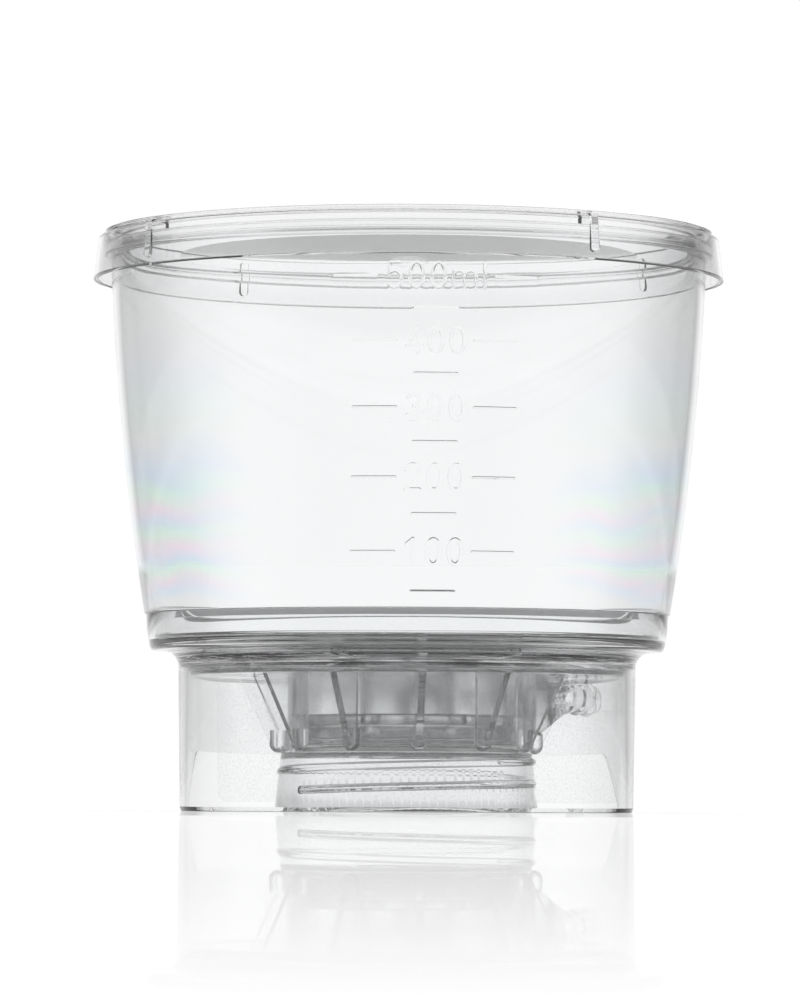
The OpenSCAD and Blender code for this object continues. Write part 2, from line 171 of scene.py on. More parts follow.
def plate(outline, thickness, middle=0):
    """A flat plate standing on edge: outline in (outward, up), thickness along."""
    count = len(outline)
    a, b = middle - thickness / 2, middle + thickness / 2
    points = [(x, a, z) for x, z in outline] + [(x, b, z) for x, z in outline]
    area = sum(p[0] * q[1] - q[0] * p[1] for p, q in zip(outline, outline[1:] + outline[:1]))
    front = list(range(count))
    back = list(range(2 * count - 1, count - 1, -1))
    sides = [[i, i + count, (i + 1) % count + count, (i + 1) % count] for i in range(count)]
    faces = [front, back] + sides
    if area < 0:
        faces = [f[::-1] for f in faces]
    return solid(points, faces)


def together(pieces):
    """Several closed meshes that don't touch, as one loose mesh."""
    points, faces = [], []
    for piece in pieces:
        start = len(points)
        points += [tuple(v.co) for v in piece.data.vertices]
        faces += [[v + start for v in f.vertices] for f in piece.data.polygons]
        bpy.data.meshes.remove(piece.data)
    return solid(points, faces)


def combined(body, tool, how):
    modifier = body.modifiers.new("combine", "BOOLEAN")
    modifier.operation = how
    modifier.solver = "MANIFOLD"
    modifier.object = tool
    done = bpy.data.meshes.new_from_object(body.evaluated_get(bpy.context.evaluated_depsgraph_get()))
    if not done.polygons:
        raise RuntimeError("the two meshes could not be combined")
    body.modifiers.clear()
    body.data = done
    bpy.data.meshes.remove(tool.data)
    return body


def join(body, tool):
    return combined(body, tool, "UNION")


def cut(body, tool):
    return combined(body, tool, "DIFFERENCE")


def smooth(piece, crease=32):
    """Corner normals averaged round the axis, so a cut or joined wall stays truly round.

    Each face's normal is read as outward, along and up at its own bearing, averaged
    with its neighbours' within the crease angle, and turned to the corner's bearing."""
    mesh = piece.data
    points = np.empty(len(mesh.vertices) * 3)
    mesh.vertices.foreach_get("co", points)
    points = points.reshape(-1, 3)
    corner_point = np.empty(len(mesh.loops), int)
    mesh.loops.foreach_get("vertex_index", corner_point)
    size = np.empty(len(mesh.polygons), int)
    mesh.polygons.foreach_get("loop_total", size)
    flat = np.empty(len(mesh.polygons) * 3)
    mesh.polygons.foreach_get("normal", flat)
    middle = np.empty(len(mesh.polygons) * 3)
    mesh.polygons.foreach_get("center", middle)
    area = np.empty(len(mesh.polygons))
    mesh.polygons.foreach_get("area", area)
    flat, middle = flat.reshape(-1, 3), middle.reshape(-1, 3)
    face = np.repeat(np.arange(len(size)), size)

    turn = np.arctan2(middle[:, 1], middle[:, 0])
    c, s = np.cos(turn), np.sin(turn)
    local = np.stack([flat[:, 0] * c + flat[:, 1] * s, flat[:, 1] * c - flat[:, 0] * s, flat[:, 2]], 1)
    order = np.argsort(corner_point, kind="stable")
    count = np.bincount(corner_point, minlength=len(points))
    first = np.concatenate([[0], np.cumsum(count)[:-1]])
    mine = np.repeat(order, count[corner_point[order]])
    start = np.repeat(first[corner_point[order]], count[corner_point[order]])
    shared = count[corner_point[order]]
    step = np.arange(len(mine)) - np.repeat(np.cumsum(shared) - shared, shared)
    other = order[start + step]
    near = (local[face[mine]] * local[face[other]]).sum(1) > math.cos(math.radians(crease))
    mine, other = mine[near], other[near]
    total = np.zeros((len(corner_point), 3))
    for axis in range(3):
        total[:, axis] = np.bincount(mine, local[face[other], axis] * area[face[other]],
                                     minlength=len(corner_point))
    total /= np.maximum(np.linalg.norm(total, axis=1, keepdims=True), 1e-12)
    at = points[corner_point]
    turn = np.arctan2(at[:, 1], at[:, 0])
    near_axis = np.hypot(at[:, 0], at[:, 1]) < 1e-3
    own = np.arctan2(middle[face, 1], middle[face, 0])
    turn = np.where(near_axis, own, turn)
    c, s = np.cos(turn), np.sin(turn)
    world = np.stack([total[:, 0] * c - total[:, 1] * s, total[:, 1] * c + total[:, 0] * s, total[:, 2]], 1)
    mesh.polygons.foreach_set("use_smooth", np.ones(len(mesh.polygons), bool))
    mesh.normals_split_custom_set(world.tolist())
    mesh.update()


def finished(piece, name, material, slot, *nodes):
    """Gives a mesh its name, metres, material and place on the frame."""
    smooth(piece)
    moved(piece, np.eye(3) * MM)
    piece.name = name
    piece.data.name = name
    piece.data.materials.clear()
    piece.data.materials.append(material)
    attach(piece, "root")
    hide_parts(*nodes)
    return piece


def bead(path, half_width, rise, sides=10, closed=False):
    """A rounded raised line on a round wall, along a path of (bearing, radius, height).

    Half of it lies in the wall, so that it joins. Its ends are round, or meet if it is closed."""
    points = []
    for bearing, radius, z in path:
        angle = math.radians(bearing - 90)
        points.append((radius * math.cos(angle), radius * math.sin(angle), z))
    points = np.array(points)
    ahead = np.roll(points, -1, 0) - np.roll(points, 1, 0) if closed else np.gradient(points, axis=0)
    ahead /= np.linalg.norm(ahead, axis=1, keepdims=True)
    out = points * [1, 1, 0]
    out /= np.linalg.norm(out, axis=1, keepdims=True)
    across = np.cross(ahead, out)
    rings = [(points[i], across[i], out[i], 1.0) for i in range(len(points))]
    cap = [(math.cos(a), math.sin(a)) for a in np.radians([25, 50, 72])]
    if not closed:
        head = [(points[0] - ahead[0] * half_width * s, across[0], out[0], c) for c, s in reversed(cap)]
        tail = [(points[-1] + ahead[-1] * half_width * s, across[-1], out[-1], c) for c, s in cap]
        rings = head + rings + tail
    verts, faces = [], []
    for centre, side, up, size in rings:
        for k in range(sides):
            a = 2 * math.pi * (k + 0.5) / sides
            verts.append(centre + side * half_width * size * math.cos(a) + up * rise * size * math.sin(a))
    for i in range(len(rings) if closed else len(rings) - 1):
        n = (i + 1) % len(rings)
        for k in range(sides):
            m = (k + 1) % sides
            faces.append([i * sides + k, n * sides + k, n * sides + m, i * sides + m])
    if not closed:
        faces.append(list(range(sides)))
        last = (len(rings) - 1) * sides
        faces.append([last + k for k in reversed(range(sides))])
    return solid(verts, faces)


# Pan, from the seat down
ledge_h, ledge_w, drain_h, floor_t, pan_round = 1.95, 2.6, 2.3, 1.8, 1.0
pan_foot_z = seat_z - ledge_h
floor_top_z = seat_z - drain_h
floor_z = floor_top_z - floor_t
ledge_in_r = cup_r(seat_z) - rim_wall - ledge_w

# Skirt
skirt_foot_r, skirt_flare, skirt_wall, skirt_fillet = 41.9, 0.42, 1.8, 2.9
lip_h, lip_inset, drain_inset = 0.8, 0.3, 1.0
skirt_r = skirt_foot_r + skirt_flare


def skirt_at(z):
    return skirt_foot_r + skirt_flare * z / pan_foot_z


# Neck and drain
neck_r = mount("bottle_neck")["dims"]["r_mm"]
collar_h = high("neck_gasket")[2]
plate_top_z = high("spout_insert")[2]
collar_r = neck_r + 1.5
stub_bore_r = neck_r - 2.0
stub_r = stub_bore_r + 1.4
stop_r = stub_bore_r - 2.1
thread_depth = mount("bottle_neck")["dims"]["length_mm"] + 1
spout_r, spout_wall = 8.9, 1.4

rim_low = pan_foot_z + pan_round
base = turned(rounded([
    (cup_r(weld_z), weld_z, 0.15),
    (cup_r((weld_z + rim_low) / 2), (weld_z + rim_low) / 2),
    (cup_r(pan_foot_z), pan_foot_z, pan_round),
    (skirt_at(pan_foot_z), pan_foot_z, skirt_fillet),
    (skirt_at(lip_h), lip_h, 0.1),
    (skirt_foot_r - lip_inset, 0, 0.15),
    (skirt_foot_r - skirt_wall, 0, 0.3),
    (skirt_at(floor_z) - skirt_wall, floor_z, 1.2),
    (stub_r, floor_z, 0.5),
    (stub_r, collar_h, 0.3),
    (collar_r, collar_h, 0.6),
    (collar_r, 0, 0.25),
    (neck_r, 0, 0.3),
    (neck_r, thread_depth, 1.0),
    (stub_bore_r, thread_depth, 0.2),
    (stub_bore_r, plate_top_z, 0.15),
    (stop_r, plate_top_z, 0.2),
    (stop_r, floor_z, 0.6),
    (spout_r, floor_z, 0.5),
    (spout_r, plate_top_z, 0.1),
    (spout_r - spout_wall, plate_top_z, 0.1),
    (spout_r - spout_wall, floor_top_z, 0.5),
    (skirt_r - drain_inset, floor_top_z, 0.3),
    (ledge_in_r, seat_z, 0.1),
    (cup_r(seat_z) - rim_wall, seat_z, 0.1),
    (cup_r(weld_z) - rim_wall, weld_z, 0.1),
]))

# The opening in the back of the skirt: a wedge, and a splayed cut at each side
bay_h, bay_half, bay_splay, bay_round = 11.8, 75.5, 7.5, 3.0
corner = bay_half - math.degrees(math.asin(bay_round / skirt_foot_r))
inside, outside = skirt_foot_r - skirt_wall * 3, skirt_r * 1.5
sweep = [math.radians(90 - corner + 2 * corner * i / 24) for i in range(25)]
ring = [(outside * math.cos(a), outside * math.sin(a)) for a in sweep]
ring += [(inside * math.cos(a), inside * math.sin(a)) for a in reversed(sweep)]
wedge = plate(ring, bay_h + 1, -(bay_h - 1) / 2)
moved(wedge, [[1, 0, 0], [0, 0, 1], [0, -1, 0]])
cut(base, wedge)
lean = math.atan2(bay_splay, bay_h - bay_round)
arc = [math.pi / 2 + (lean - math.pi / 2) * i / 6 for i in range(7)]
side = [(-bay_round * 2, -1), (-bay_round * 2, bay_h - bay_round)]
side += [(bay_round * (math.cos(a) - 1), bay_h - bay_round * (1 - math.sin(a)) - 0.002) for a in arc]
side += [(bay_splay, 0), (bay_splay, -1)]
for hand in (1, -1):
    prism = plate(side, skirt_wall * 3, skirt_foot_r - skirt_wall / 2)
    moved(prism, [[0, 1, 0], [-1, 0, 0], [0, 0, 1]])
    moved(prism, bearing_axes(180 - bay_half))
    if hand < 0:
        prism.data.flip_normals()
        moved(prism, [[-1, 0, 0], [0, 1, 0], [0, 0, 1]])
    cut(base, prism)

# Gussets between the neck and the floor, each with a round-ended peg at its foot
gusset_count, gusset_t, gusset_top_r, gusset_foot_r, peg_r = 12, 1.3, 32.6, 25.2, 1.65
gusset_foot_z = collar_h + 0.7
peg_foot_z = collar_h - 1.1
port_bearing = 90 + math.degrees(math.atan2(mount("vacuum_port")["axis"][1], mount("vacuum_port")["axis"][0]))
port_place = round(port_bearing * gusset_count / 360)
embed = 0.6
gussets, pegs = [], []
for i in range(gusset_count):
    if i == port_place:
        continue
    place = bearing_axes(360 / gusset_count * i)
    gussets.append(moved(plate([
        (stub_r - embed, gusset_foot_z), (gusset_foot_r, gusset_foot_z),
        (gusset_top_r, floor_z + embed), (stub_r - embed, floor_z + embed),
    ], gusset_t), place))
    peg_line = [(0, peg_foot_z + peg_r + 2.5), (peg_r, peg_foot_z + peg_r + 2.5)]
    peg_line += [(peg_r * math.cos(a), peg_foot_z + peg_r + peg_r * math.sin(a))
                 for a in np.radians(np.linspace(0, -90, 9)[:-1])] + [(0, peg_foot_z)]
    peg = turned(peg_line, 32)
    pegs.append(moved(peg, place, np.array(place)[:, 0] * (stub_r + gusset_foot_r) / 2))
join(base, together(gussets))
join(base, together(pegs))

# Round ridges that carry the membrane, broken by channels that lead in to the drain
ridge_count, ridge_w, channel_count, channel_w = 10, 0.9, 8, 2.4
first_r, last_r = spout_r + 1, skirt_r - drain_inset - ridge_w
ridges, channels = [], []
for i in range(ridge_count):
    r = first_r + (last_r - first_r) * i / (ridge_count - 1)
    ridges.append(turned(rounded([
        (r, floor_top_z - embed), (r, seat_z - 0.03, 0.25), (r + ridge_w, seat_z - 0.03, 0.25),
        (r + ridge_w, floor_top_z - embed),
    ], 3), 128))
for i in range(channel_count):
    channels.append(moved(plate([
        (first_r - 1, floor_top_z - 1), (skirt_r, floor_top_z - 1),
        (skirt_r, seat_z + 1), (first_r - 1, seat_z + 1),
    ], channel_w), bearing_axes(360 / channel_count * (i + 0.5) + 90)))
join(base, cut(together(ridges), together(channels)))

# The duct under the floor, the two webs that brace it, and the barb outside the skirt
duct_r, port_bore_r, barb_r, stem_r, barb_count, stem_l, web_t = 4.3, 1.8, 3.5, 2.7, 3, 2.0, 1.4
port_z = mount("vacuum_port")["pos_m"][2] / MM
barb_l = 13.0
port_axes = np.array(bearing_axes(port_bearing))
along_port = port_axes @ np.array([[0, 0, 1], [0, 1, 0], [-1, 0, 0]])


def along_duct(outline, turns):
    """Turned about the port's axis: outline in (radius, distance from the neck's axis)."""
    return moved(turned(outline, turns), along_port, (0, 0, port_z))


duct_in_r = stub_r - 0.7
duct_out_r = skirt_r - skirt_wall / 2
join(base, along_duct([(0, duct_in_r), (duct_r, duct_in_r), (duct_r, duct_out_r), (0, duct_out_r)], 64))
join(base, moved(plate([
    (duct_in_r + 0.01, port_z), (duct_out_r - 0.01, port_z), (duct_out_r - 0.01, floor_z + embed),
    (duct_in_r + 0.01, floor_z + embed),
], duct_r * 2 - 0.02), port_axes))
web_end_r = skirt_r - skirt_wall * 2.5
spread = math.acos((stub_r - web_t - duct_r) / web_end_r)
for hand in (1, -1):
    foot = (stub_r - web_t) * np.array([math.cos(spread), hand * math.sin(spread)])
    head = np.array([web_end_r, 0]) + (duct_r - web_t) * np.array([math.cos(spread), hand * math.sin(spread)])
    run = head - foot
    length = np.linalg.norm(run)
    c, s = run / length
    web = plate([
        (0, collar_h), (length, port_z - duct_r * 0.8), (length, floor_z + embed), (0, floor_z + embed),
    ], web_t, hand * web_t / 2)
    moved(web, [[c, -s, 0], [s, c, 0], [0, 0, 1]], (foot[0], foot[1], 0))
    join(base, moved(web, port_axes))
tip = skirt_r + barb_l
pitch = (barb_l - stem_l) / barb_count
line = [(0, duct_out_r), (stem_r, duct_out_r)]
for i in range(barb_count):
    crest = tip - pitch * (barb_count - i)
    line += [(stem_r, crest), (barb_r - 0.05, crest + 0.02), (barb_r, crest + 0.15)]
    line += [(stem_r + 0.001, crest + pitch)]
line += [(0, tip)]
join(base, along_duct(line, 64))
cut(base, along_duct([(0, stop_r - 1), (port_bore_r, stop_r - 1), (port_bore_r, tip + 1), (0, tip + 1)], 48))

# The screw thread inside the collar: a right-handed ridge of one and a half turns
thread_pitch, thread_foot_z, thread_from, thread_to = 4.0, 4.9, -60, 480
thread_half, thread_rise = 0.8, 1.15
helix = []
for b in np.arange(thread_from, thread_to + 1, 4):
    helix.append((b, neck_r, thread_foot_z + thread_pitch * b / 360))
join(base, bead(helix, thread_half, thread_rise))


def feed(node, settings):
    """Sets each named input to a value, or links it to another node's output."""
    for socket, value in settings.items():
        if isinstance(value, bpy.types.NodeSocket):
            node.id_data.links.new(value, node.inputs[socket])
        else:
            node.inputs[socket].default_value = value
    return node


def added(nodes, kind, settings=None, **fields):
    """A new node of a material or of the world, with its inputs fed."""
    node = nodes.new("ShaderNode" + kind)
    for name, value in fields.items():
        setattr(node, name, value)
    return feed(node, settings or {})


def new_material(name):
    material = bpy.data.materials.new(name)
    material.use_nodes = True
    nodes = material.node_tree.nodes
    return material, nodes, nodes["Principled BSDF"]


def noise(nodes, place, scale, detail=2.0):
    return added(nodes, "TexNoise", {"Vector": place, "Scale": scale, "Detail": detail}).outputs["Fac"]


def ranged(nodes, value, start, end, low_end=0.0, high_end=1.0, kind="LINEAR"):
    """Goes from one level to the other while the value goes from start to end."""
    return added(nodes, "MapRange", {
        "Value": value, "From Min": start, "From Max": end, "To Min": low_end, "To Max": high_end,
    }, interpolation_type=kind).outputs["Result"]


def maths(nodes, operation, *terms):
    return added(nodes, "Math", dict(enumerate(terms)), operation=operation).outputs["Value"]


def ramped(nodes, value, stops):
    """Colours by a value, blended between stops of (position, colour)."""
    ramp = added(nodes, "ValToRGB", {"Fac": value})
    marks = ramp.color_ramp.elements
    while len(marks) < len(stops):
        marks.new(0.5)
    for mark, (position, colour) in zip(marks, stops):
        mark.position = position
        mark.color = (*colour, 1)
    return ramp.outputs["Color"]


def bumped(nodes, height, strength, distance):
    settings = {"Height": height, "Strength": strength, "Distance": distance}
    return added(nodes, "Bump", settings).outputs["Normal"]


def clear_plastic(name, colour, haze=0.0):
    """Clear moulded polystyrene: a faint tone that drifts with the flow, and a slightly rippled skin."""
    material, nodes, shader = new_material(name)
    place = added(nodes, "TexCoord").outputs["Object"]
    drift = noise(nodes, place, 22.0)
    lighter = [min(1, c + 0.008) for c in colour]
    tone = added(nodes, "Mix", {"Factor": drift, "A": (*colour, 1), "B": (*lighter, 1)}, data_type="RGBA")
    feed(shader, {
        "Transmission Weight": 1.0,
        "IOR": 1.59,
        "Base Color": tone.outputs["Result"],
        "Roughness": ranged(nodes, drift, 0.0, 1.0, haze, haze + 0.015),
        "Normal": bumped(nodes, noise(nodes, place, 70.0, 1.0), 0.02, 0.0003),
    })
    return material


def core_matt_plastic():
    """The clear plastic of the base, finely matt in the neck above the collar and on the barb."""
    material = clear_plastic("clear_base", (0.982, 0.987, 0.99))
    nodes = material.node_tree.nodes
    shader = nodes["Principled BSDF"]
    parts = added(nodes, "SeparateXYZ", {"Vector": added(nodes, "TexCoord").outputs["Object"]}).outputs
    flat = added(nodes, "CombineXYZ", {"X": parts["X"], "Y": parts["Y"]}).outputs["Vector"]
    away = added(nodes, "VectorMath", {0: flat}, operation="LENGTH").outputs["Value"]
    core_r, core_foot_z, barb_from_r, barb_top_z, edge = 0.026, 0.0125, 0.0435, 0.028, 0.001
    matt_rise = 0.14
    core = maths(nodes, "MULTIPLY", ranged(nodes, away, core_r + edge, core_r),
                 ranged(nodes, parts["Z"], core_foot_z, core_foot_z + edge))
    barb = maths(nodes, "MULTIPLY", ranged(nodes, away, barb_from_r, barb_from_r + edge),
                 ranged(nodes, parts["Z"], barb_top_z + edge, barb_top_z))
    skin = shader.inputs["Roughness"].links[0].from_socket
    matt = maths(nodes, "ADD", core, barb)
    feed(shader, {"Roughness": maths(nodes, "MULTIPLY_ADD", matt, matt_rise, skin)})
    return material


finished(base, "base_moulding", core_matt_plastic(), "clear_base", "base")

# ---------------------------------------------------------------- Spout insert
# A second clear moulding: a sleeve with a plate across it and the drain spout.
# It is pushed up into the neck stub and welded; air leaves through its holes.

plate_z = plate_top_z - 1.7
spout_z = low("spout_insert")[2]
insert_r = high("spout_insert")[0]
sleeve_r, sleeve_wall, insert_flange_t = stub_bore_r - 1.3, 1.6, 1.2
insert = turned(rounded([
    (spout_r - spout_wall, spout_z, 0.25),
    (spout_r, spout_z, 0.25),
    (spout_r, plate_z, 0.6),
    (sleeve_r - sleeve_wall, plate_z, 0.5),
    (sleeve_r - sleeve_wall, collar_h + 0.02, 0.2),
    (insert_r, collar_h + 0.02, 0.2),
    (insert_r, collar_h + insert_flange_t, 0.2),
    (sleeve_r, collar_h + insert_flange_t, 0.3),
    (sleeve_r, plate_top_z - 0.02, 0.3),
    (spout_r - spout_wall, plate_top_z - 0.02, 0.1),
]))
air_count, air_r = 6, 1.7
holes = []
for i in range(air_count):
    angle = 2 * math.pi * i / air_count
    middle = (spout_r + sleeve_r - sleeve_wall) / 2
    foot, head = plate_z - 1, plate_top_z + 1
    hole = turned([(0, foot), (air_r, foot), (air_r, head), (0, head)], 40)
    holes.append(moved(hole, np.eye(3), (middle * math.cos(angle), middle * math.sin(angle), 0)))
cut(insert, together(holes))
finished(insert, "insert_moulding", clear_plastic("clear_insert", (0.98, 0.986, 0.99), 0.01), "clear_insert",
         "spout_insert")

# ---------------------------------------------------------------- Neck gasket
# A flat washer of soft translucent silicone, stamped from sheet. It lies under
# the insert's sleeve, and the lip of the bottle seals against it.

gasket_z = low("neck_gasket")[2]
gasket_r = high("neck_gasket")[0]
gasket = turned(rounded([
    (sleeve_r - sleeve_wall, gasket_z, 0.12),
    (gasket_r, gasket_z, 0.12),
    (gasket_r, collar_h - 0.02, 0.12),
    (sleeve_r - sleeve_wall, collar_h - 0.02, 0.12),
]))


def silicone():
    material, nodes, shader = new_material("silicone")
    grain = noise(nodes, added(nodes, "TexCoord").outputs["Object"], 900.0)
    feed(shader, {
        "Transmission Weight": 0.8,
        "IOR": 1.41,
        "Base Color": ramped(nodes, grain, [(0.0, (0.86, 0.87, 0.86)), (1.0, (0.95, 0.955, 0.95))]),
        "Roughness": ranged(nodes, grain, 0.0, 1.0, 0.25, 0.45),
    })
    return material


finished(gasket, "gasket_washer", silicone(), "silicone", "neck_gasket")

# ---------------------------------------------------------------- Membrane
# A die-cut disc of white porous film, 0.2 mm thick. It lies on the ridges of the
# base, and the foot of the cup clamps its edge, which puckers a little.

membrane_r = high("membrane")[0]
membrane_t = high("membrane")[2] - seat_z
pucker_count, pucker_h, pucker_r = 72, 0.2, 44.6


def puckered(x, y):
    """Height of the disc's pucker, which is highest just inside the clamped edge."""
    r, angle = math.hypot(x, y), math.atan2(y, x)
    near_edge = math.exp(-((r - pucker_r) / 0.7) ** 2)
    wave = 0.5 + 0.5 * math.sin(pucker_count * angle + 1.7 * math.sin(5 * angle))
    uneven = 0.55 + 0.45 * math.sin(11 * angle + 2 * math.sin(3 * angle))
    return pucker_h * near_edge * wave * max(0, uneven)


rings = [0, 8, 16, 24, 32, 38, 42, 43.3, 43.9, 44.3, 44.6, 44.9, 45.2, 45.6, membrane_r]
outline = [(r, seat_z + 0.01) for r in rings] + [(r, seat_z + membrane_t - 0.01) for r in reversed(rings)]
membrane = turned(outline, 720)
for v in membrane.data.vertices:
    v.co.z += puckered(v.co.x, v.co.y)


def filter_film():
    """White matt porous film that lets some light through, with a faint mottle from its pores."""
    material, nodes, shader = new_material("filter_film")
    mottle = noise(nodes, added(nodes, "TexCoord").outputs["Object"], 420.0, 4.0)
    feed(shader, {
        "Transmission Weight": 0.45,
        "IOR": 1.3,
        "Base Color": ramped(nodes, mottle, [(0.3, (0.88, 0.89, 0.895)), (0.7, (0.94, 0.945, 0.945))]),
        "Roughness": ranged(nodes, mottle, 0.0, 1.0, 0.8, 1.0),
        "Normal": bumped(nodes, mottle, 0.15, 0.0001),
    })
    return material


finished(membrane, "membrane_disc", filter_film(), "membrane", "membrane")

# ---------------------------------------------------------------- Cup
# The cup is a clear polystyrene moulding with a flange at its mouth. A tongue
# at its foot enters the rim of the base, where it is welded all round. Its
# graduations and numerals stand out from the wall.

cup_wall, cup_foot_wall, cup_foot_rise = 1.6, 2.1, 7.0
tongue_z = low("funnel")[2]
tongue_gap, weld_h, weld_gap = 0.2, 1.3, 0.03
thin_z, step_z = weld_z + cup_foot_rise, weld_z - weld_h
mouth_r = cup_top_r - cup_wall


def cup_inner_r(z):
    thicker = 1 - min(1, max(0, (z - weld_z) / cup_foot_rise))
    return cup_r(z) - cup_wall - (cup_foot_wall - cup_wall) * thicker


wall_steps = 20
heights = [weld_z + weld_gap + (flange_z - 0.6 - weld_z) * i / wall_steps for i in range(1, wall_steps)]
outline = [(cup_r(weld_z), weld_z + weld_gap, 0.12)] + [(cup_r(z), z) for z in heights]
outline += [(cup_r(flange_z), flange_z, 0.35), (flange_r, flange_z, 0.5), (flange_r, mouth_z, 0.5),
            (mouth_r, mouth_z, 0.4)]
outline += [(cup_inner_r(z), z) for z in reversed(heights) if z > thin_z + 1]
outline += [
    (cup_inner_r(thin_z), thin_z),
    (cup_inner_r(weld_z), weld_z),
    (cup_inner_r(tongue_z), tongue_z + 0.02, 0.3),
    (cup_r(tongue_z) - rim_wall - tongue_gap, tongue_z + 0.02, 0.3),
    (cup_r(step_z) - rim_wall - tongue_gap, step_z, 0.05),
    (cup_r(step_z) - rim_wall - 0.05, step_z, 0.05),
    (cup_r(weld_z) - rim_wall - 0.05, weld_z + weld_gap, 0.05),
]
cup = turned(rounded(outline), 256)

# Each line stands where the cup is filled to its volume
mark_step, mark_last = 50, 500
mark_half, mark_rise, mark_w = 0.25, 0.2, 7.6
numeral_w, top_numeral_w = 13.9, 21.2
fill, levels = 0.0, [(0.0, tongue_z)]
slice_h = 0.1
while levels[-1][1] < flange_z:
    z = levels[-1][1]
    fill += math.pi * cup_inner_r(z + slice_h / 2) ** 2 * slice_h / 1000
    levels.append((fill, z + slice_h))


def mark_z(volume):
    return float(np.interp(volume, [v for v, _ in levels], [z for _, z in levels]))


def on_cup(points):
    """Points (along the wall, up) as bearing, radius and height on the cup."""
    return [(math.degrees(x / cup_r(z)), cup_r(z), z) for x, z in points]


def spaced(points, step=0.35):
    """The same line with points no further apart than the step."""
    out = [points[0]]
    for a, b in zip(points, points[1:]):
        count = max(1, math.ceil(math.dist(a, b) / step))
        for k in range(1, count + 1):
            out.append((a[0] + (b[0] - a[0]) * k / count, a[1] + (b[1] - a[1]) * k / count))
    return out


lines = []
for i in range(1, mark_last // mark_step + 1):
    z = mark_z(mark_step * i)
    middle = ((top_numeral_w if i == mark_last // mark_step else numeral_w) + mark_w) / 2
    middles = [0] if i % 2 else [-middle, middle]
    for middle in middles:
        ends = [(middle - mark_w / 2, z), (middle + mark_w / 2, z)]
        lines.append(bead(on_cup(spaced(ends)), mark_half, mark_rise, 8))
join(cup, together(lines))


def bend(x, y, rx, ry, a, b, steps=12):
    """Points of an arc about (x, y), from angle a to angle b in degrees."""
    turns = np.radians(np.linspace(a, b, steps + 1))
    return [(x + rx * math.cos(t), y + ry * math.sin(t)) for t in turns]


# Strokes of each character, in shares of its height, with x from its left edge
strokes = {
    "0": [bend(0.27, 0.5, 0.27, 0.5, 90, -255, 23)],
    "1": [[(0.08, 0.8), (0.32, 1.0)], [(0.32, 1.0), (0.32, 0.0)]],
    "2": [bend(0.27, 0.72, 0.27, 0.28, 165, -35, 14) + [(0.0, 0.0)], [(0.0, 0.0), (0.56, 0.0)]],
    "3": [bend(0.26, 0.76, 0.24, 0.24, 150, -80, 12), bend(0.26, 0.27, 0.28, 0.27, 80, -155, 14)],
    "4": [[(0.42, 1.0), (0.0, 0.28)], [(0.0, 0.28), (0.56, 0.28)], [(0.42, 1.0), (0.42, 0.0)]],
    "5": [[(0.5, 1.0), (0.1, 1.0)], [(0.1, 1.0), (0.05, 0.54)], bend(0.26, 0.33, 0.28, 0.33, 140, -145, 16)],
    "m": [[(0.0, 0.0), (0.0, 0.68)], bend(0.23, 0.46, 0.23, 0.22, 180, 0, 10) + [(0.46, 0.0)],
          bend(0.69, 0.46, 0.23, 0.22, 180, 0, 10) + [(0.92, 0.0)]],
    "l": [[(0.0, 0.0), (0.0, 1.0)]],
}
advance = {"m": 1.28, "l": 0.25}
numeral_h, numeral_pitch, numeral_share, stroke_half, stroke_rise = 4.4, 0.88, 0.54, 0.36, 0.22
layers = [[], [], []]
for i in range(1, mark_last // mark_step // 2 + 1):
    text = str(mark_step * 2 * i) + ("ml" if i * mark_step * 2 == mark_last else "")
    width = sum(advance.get(ch, numeral_pitch) for ch in text)
    width -= numeral_pitch - numeral_share if text[-1] == "0" else advance["l"]
    x = -width / 2
    middle_z = mark_z(mark_step * 2 * i)
    for ch in text:
        for layer, stroke in enumerate(strokes[ch]):
            points = [((x + px) * numeral_h, middle_z + (py - 0.5) * numeral_h) for px, py in stroke]
            layers[layer].append(bead(on_cup(spaced(points)), stroke_half, stroke_rise, 8, ch == "0"))
        x += advance.get(ch, numeral_pitch)
for layer in layers:
    join(cup, together(layer))


def stress_and_painted_fringe_plastic():
    """The clear plastic of the cup, with faint colour bands of moulding stress low down on both sides:
    painted fringes of light and a slight painted shade, put at the sides as seen from the front.
    """
    material = clear_plastic("clear_cup", (0.982, 0.987, 0.99))
    nodes = material.node_tree.nodes
    shader = nodes["Principled BSDF"]
    place = added(nodes, "TexCoord").outputs["Object"]
    parts = added(nodes, "SeparateXYZ", {"Vector": place}).outputs
    sway = 0.008
    height = maths(nodes, "MULTIPLY_ADD", noise(nodes, place, 45.0, 1.0), sway, parts["Z"])
    bands_top_z, bands_foot_z, bands_from_x, bands_full_x = 0.090, 0.042, 0.029, 0.042
    neutral, blue = (0.965, 0.965, 0.965), (0.87, 0.93, 1.0)
    green, pink = (0.89, 1.0, 0.93), (0.99, 0.91, 0.965)
    # Painted light: colour fringes that light shows through the stressed wall, with a slight painted shade
    # between them
    painted_fringes = ramped(nodes, ranged(nodes, height, bands_top_z, bands_foot_z), [
        (0, neutral), (0.1, (0.95, 0.96, 0.98)), (0.28, (0.94, 0.975, 0.96)), (0.38, neutral), (0.5, blue),
        (0.57, green), (0.63, pink), (0.675, blue), (0.725, green), (0.78, pink), (0.84, blue),
        (0.885, green), (0.93, pink), (0.965, blue), (1, neutral),
    ])
    # The painted fringes and shade are put only at the two sides, as seen from the front
    aside = maths(nodes, "ABSOLUTE", parts["X"])
    painted_side_share = ranged(nodes, aside, bands_from_x, bands_full_x, kind="SMOOTHSTEP")
    tone = shader.inputs["Base Color"].links[0].from_socket
    painted_fringe_mix = added(nodes, "Mix", {"Factor": painted_side_share, "A": tone, "B": painted_fringes},
                   data_type="RGBA", blend_type="MULTIPLY")
    feed(shader, {"Base Color": painted_fringe_mix.outputs["Result"]})
    return material


